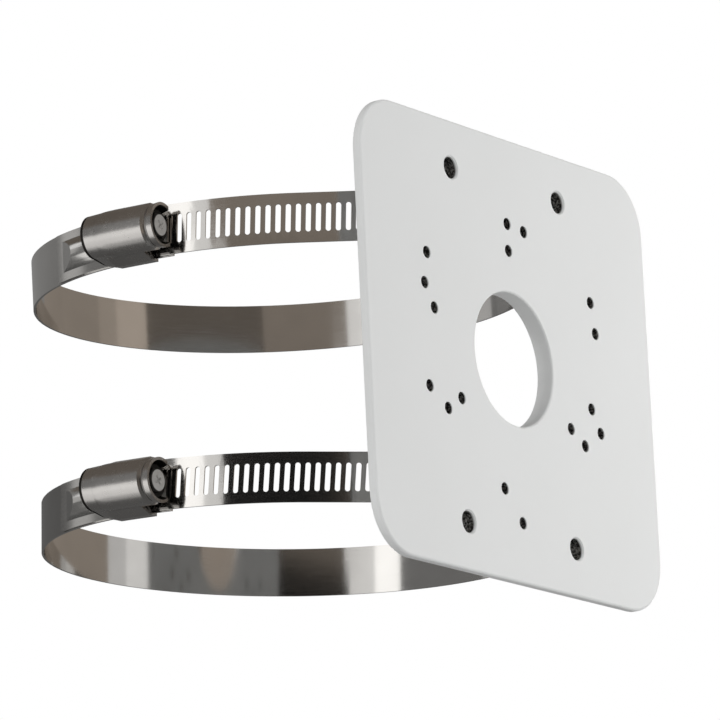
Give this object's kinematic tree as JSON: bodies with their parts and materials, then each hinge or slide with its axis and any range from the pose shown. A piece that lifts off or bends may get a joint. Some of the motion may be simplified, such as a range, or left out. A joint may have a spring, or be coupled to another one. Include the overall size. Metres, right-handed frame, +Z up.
{
  "type": "camera pole mount bracket",
  "caption": "Square camera plate with a cable hole, tapped hole patterns and toothed rear jaws, held to a pole by slotted worm drive band clamps.",
  "frame": {"origin": "centre of the cable hole on the plate's front face", "axes": "+Z up along the pole, -Y out of the plate's front towards the camera, pole behind at +Y"},
  "size_m": [0.1519, 0.144, 0.123],
  "materials": {
    "powder_coat": "satin",
    "stainless_band": "polished",
    "stainless_strap": "polished",
    "stainless_housing": "satin",
    "screw_steel": "satin"
  },
  "bodies": {
    "bracket": {"mounting_plate": "powder_coat", "upper_clamp_band": "stainless_band", "upper_clamp_strap": "stainless_strap", "upper_worm_housing": "stainless_housing", "lower_clamp_band": "stainless_band", "lower_clamp_strap": "stainless_strap", "lower_worm_housing": "stainless_housing"},
    "upper_screw": {"upper_worm_screw": "screw_steel"},
    "lower_screw": {"lower_worm_screw": "screw_steel"}
  },
  "joints": [
    {"name": "upper_screw_turn", "type": "hinge", "parent": "bracket", "child": "upper_screw", "pos_m": [-0.07601, 0.06986, 0.03469], "axis": [0.0645, -0.9978, -0.012], "continuous": true},
    {"name": "lower_screw_turn", "type": "hinge", "parent": "bracket", "child": "lower_screw", "pos_m": [-0.07619, 0.07349, -0.03383], "axis": [0.0157, -0.999, -0.0419], "continuous": true}
  ]
}
